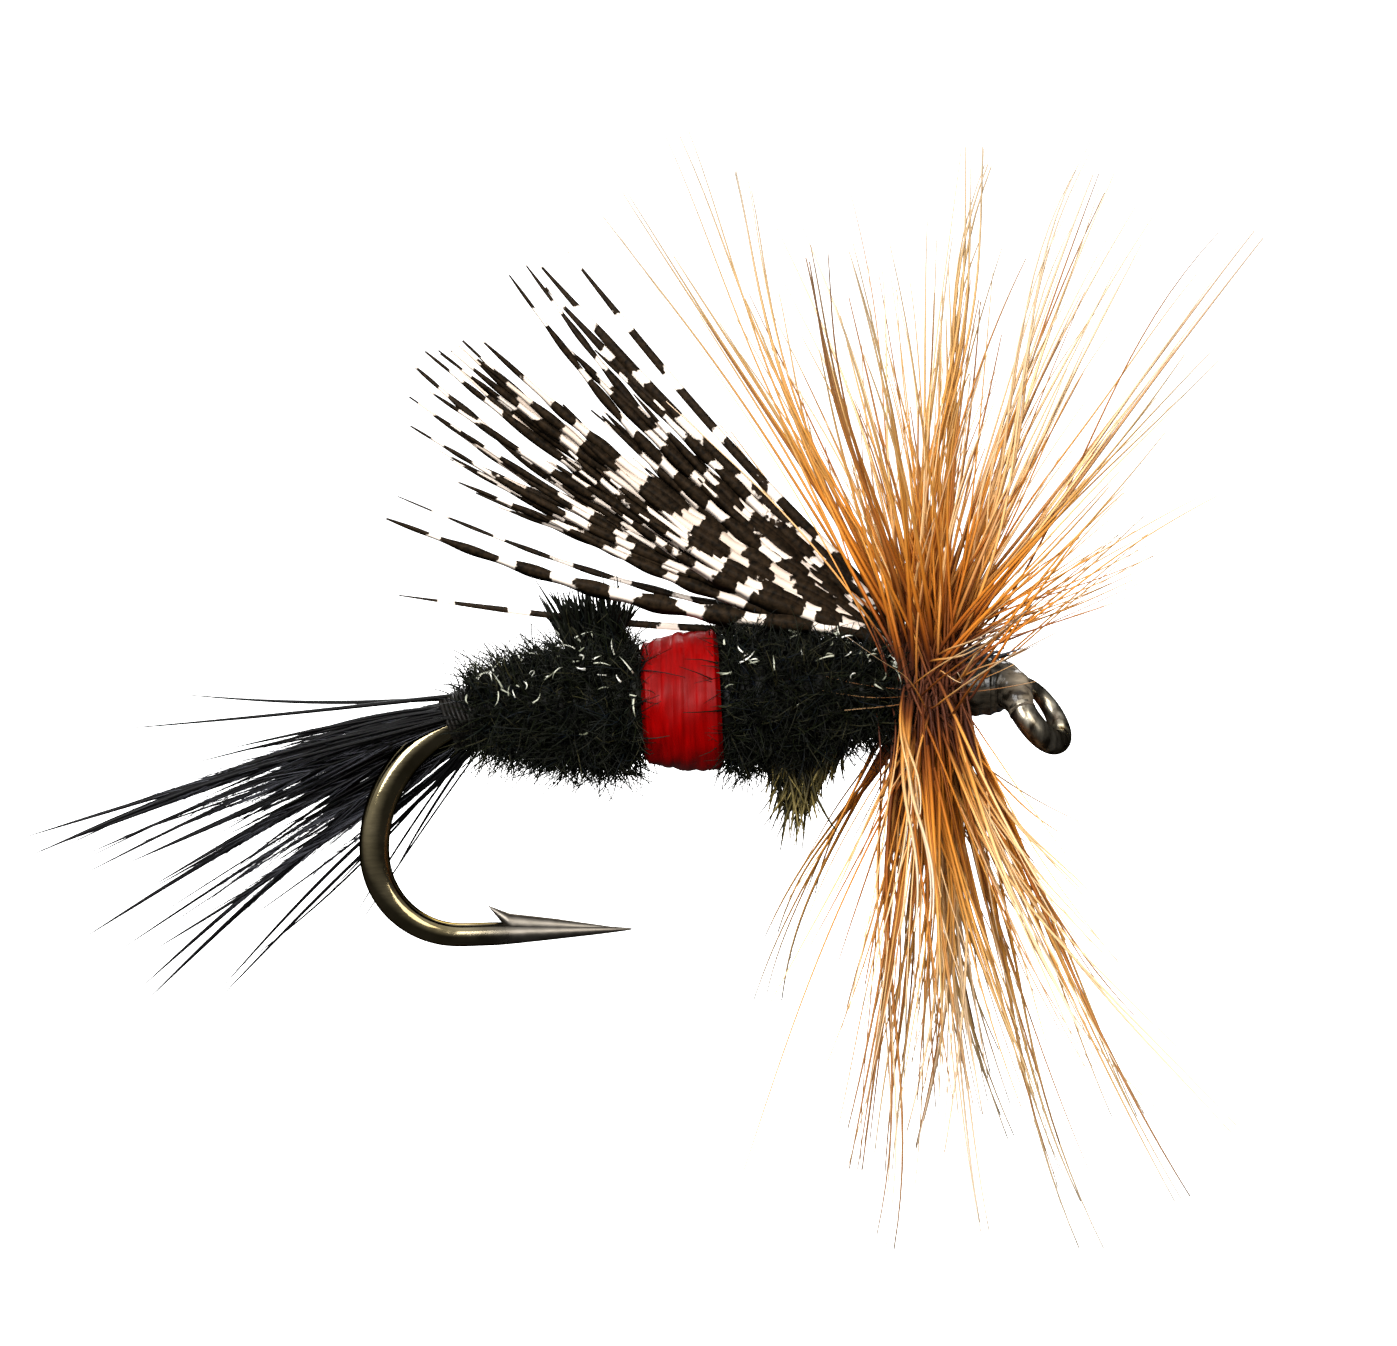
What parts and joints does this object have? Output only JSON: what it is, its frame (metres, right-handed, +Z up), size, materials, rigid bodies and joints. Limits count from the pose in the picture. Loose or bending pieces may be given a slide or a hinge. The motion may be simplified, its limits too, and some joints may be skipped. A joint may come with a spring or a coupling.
{
  "type": "dry fly",
  "caption": "Fishing fly tied on a bronzed steel hook: black barb tail, dark herl body with a red floss band, swept barred wing, stiff ginger hackle collar and a varnished thread head.",
  "frame": {"origin": "centre of the turned-down hook eye", "axes": "+X forward, parallel to the hook shank, the way the leader pulls; +Z up towards the wing; the hook point hangs towards -Z; +Y is the far side"},
  "size_m": [0.027, 0.0241, 0.0245],
  "materials": {
    "hook_bronze": "bronzed high-carbon steel, polished",
    "tying_thread": "waxed black-brown thread",
    "underbody": "bound feather butts and floss",
    "peacock_herl": "near-black herl flue with small glints",
    "herl_tip": "olive herl flue",
    "red_floss": "glossy red floss",
    "tail_barbs": "glossy black hackle barbs",
    "wing_barbs": "cream flank feather with dark brown bars",
    "hackle_barbs": "glossy ginger-brown barbs, paler at the tips",
    "head_varnish": "clear head cement over dark thread"
  },
  "bodies": {
    "root": {"hook": "hook_bronze", "thread_base": "tying_thread", "tail_tie_wraps": "tying_thread", "wing_tie_wraps": "tying_thread", "head_thread": "tying_thread", "underbody": "underbody", "rear_herl_a": "peacock_herl", "rear_herl_b": "peacock_herl", "front_herl_a": "peacock_herl", "front_herl_b": "peacock_herl", "rear_herl_tip": "peacock_herl", "front_herl_tip": "herl_tip", "floss_band": "red_floss", "tail_barbs_1": "tail_barbs", "tail_barbs_2": "tail_barbs", "tail_barbs_3": "tail_barbs", "tail_barbs_4": "tail_barbs", "tail_barbs_5": "tail_barbs", "tail_barbs_6": "tail_barbs", "tail_barbs_7": "tail_barbs", "tail_barbs_8": "tail_barbs", "tail_stray_barb_1": "tail_barbs", "tail_stray_barb_2": "tail_barbs", "wing_slip_near": "wing_barbs", "wing_slip_far": "wing_barbs", "wing_barb_top_rear": "wing_barbs", "wing_barb_top_front": "wing_barbs", "wing_barb_low": "wing_barbs", "hackle_stem": "hackle_barbs", "hackle_barbs_01": "hackle_barbs", "hackle_barbs_02": "hackle_barbs", "hackle_barbs_03": "hackle_barbs", "hackle_barbs_04": "hackle_barbs", "hackle_barbs_05": "hackle_barbs", "hackle_barbs_06": "hackle_barbs", "hackle_barbs_07": "hackle_barbs", "hackle_barbs_08": "hackle_barbs", "hackle_barbs_09": "hackle_barbs", "hackle_barbs_10": "hackle_barbs", "hackle_barbs_11": "hackle_barbs", "hackle_barbs_12": "hackle_barbs", "hackle_barbs_13": "hackle_barbs", "hackle_barbs_14": "hackle_barbs", "hackle_barbs_15": "hackle_barbs", "hackle_barbs_16": "hackle_barbs", "hackle_barbs_17": "hackle_barbs", "hackle_barbs_18": "hackle_barbs", "hackle_barbs_19": "hackle_barbs", "hackle_barbs_20": "hackle_barbs", "hackle_barbs_21": "hackle_barbs", "hackle_barbs_22": "hackle_barbs", "hackle_barbs_23": "hackle_barbs", "hackle_barbs_24": "hackle_barbs", "head_cement": "head_varnish"}
  },
  "joints": []
}
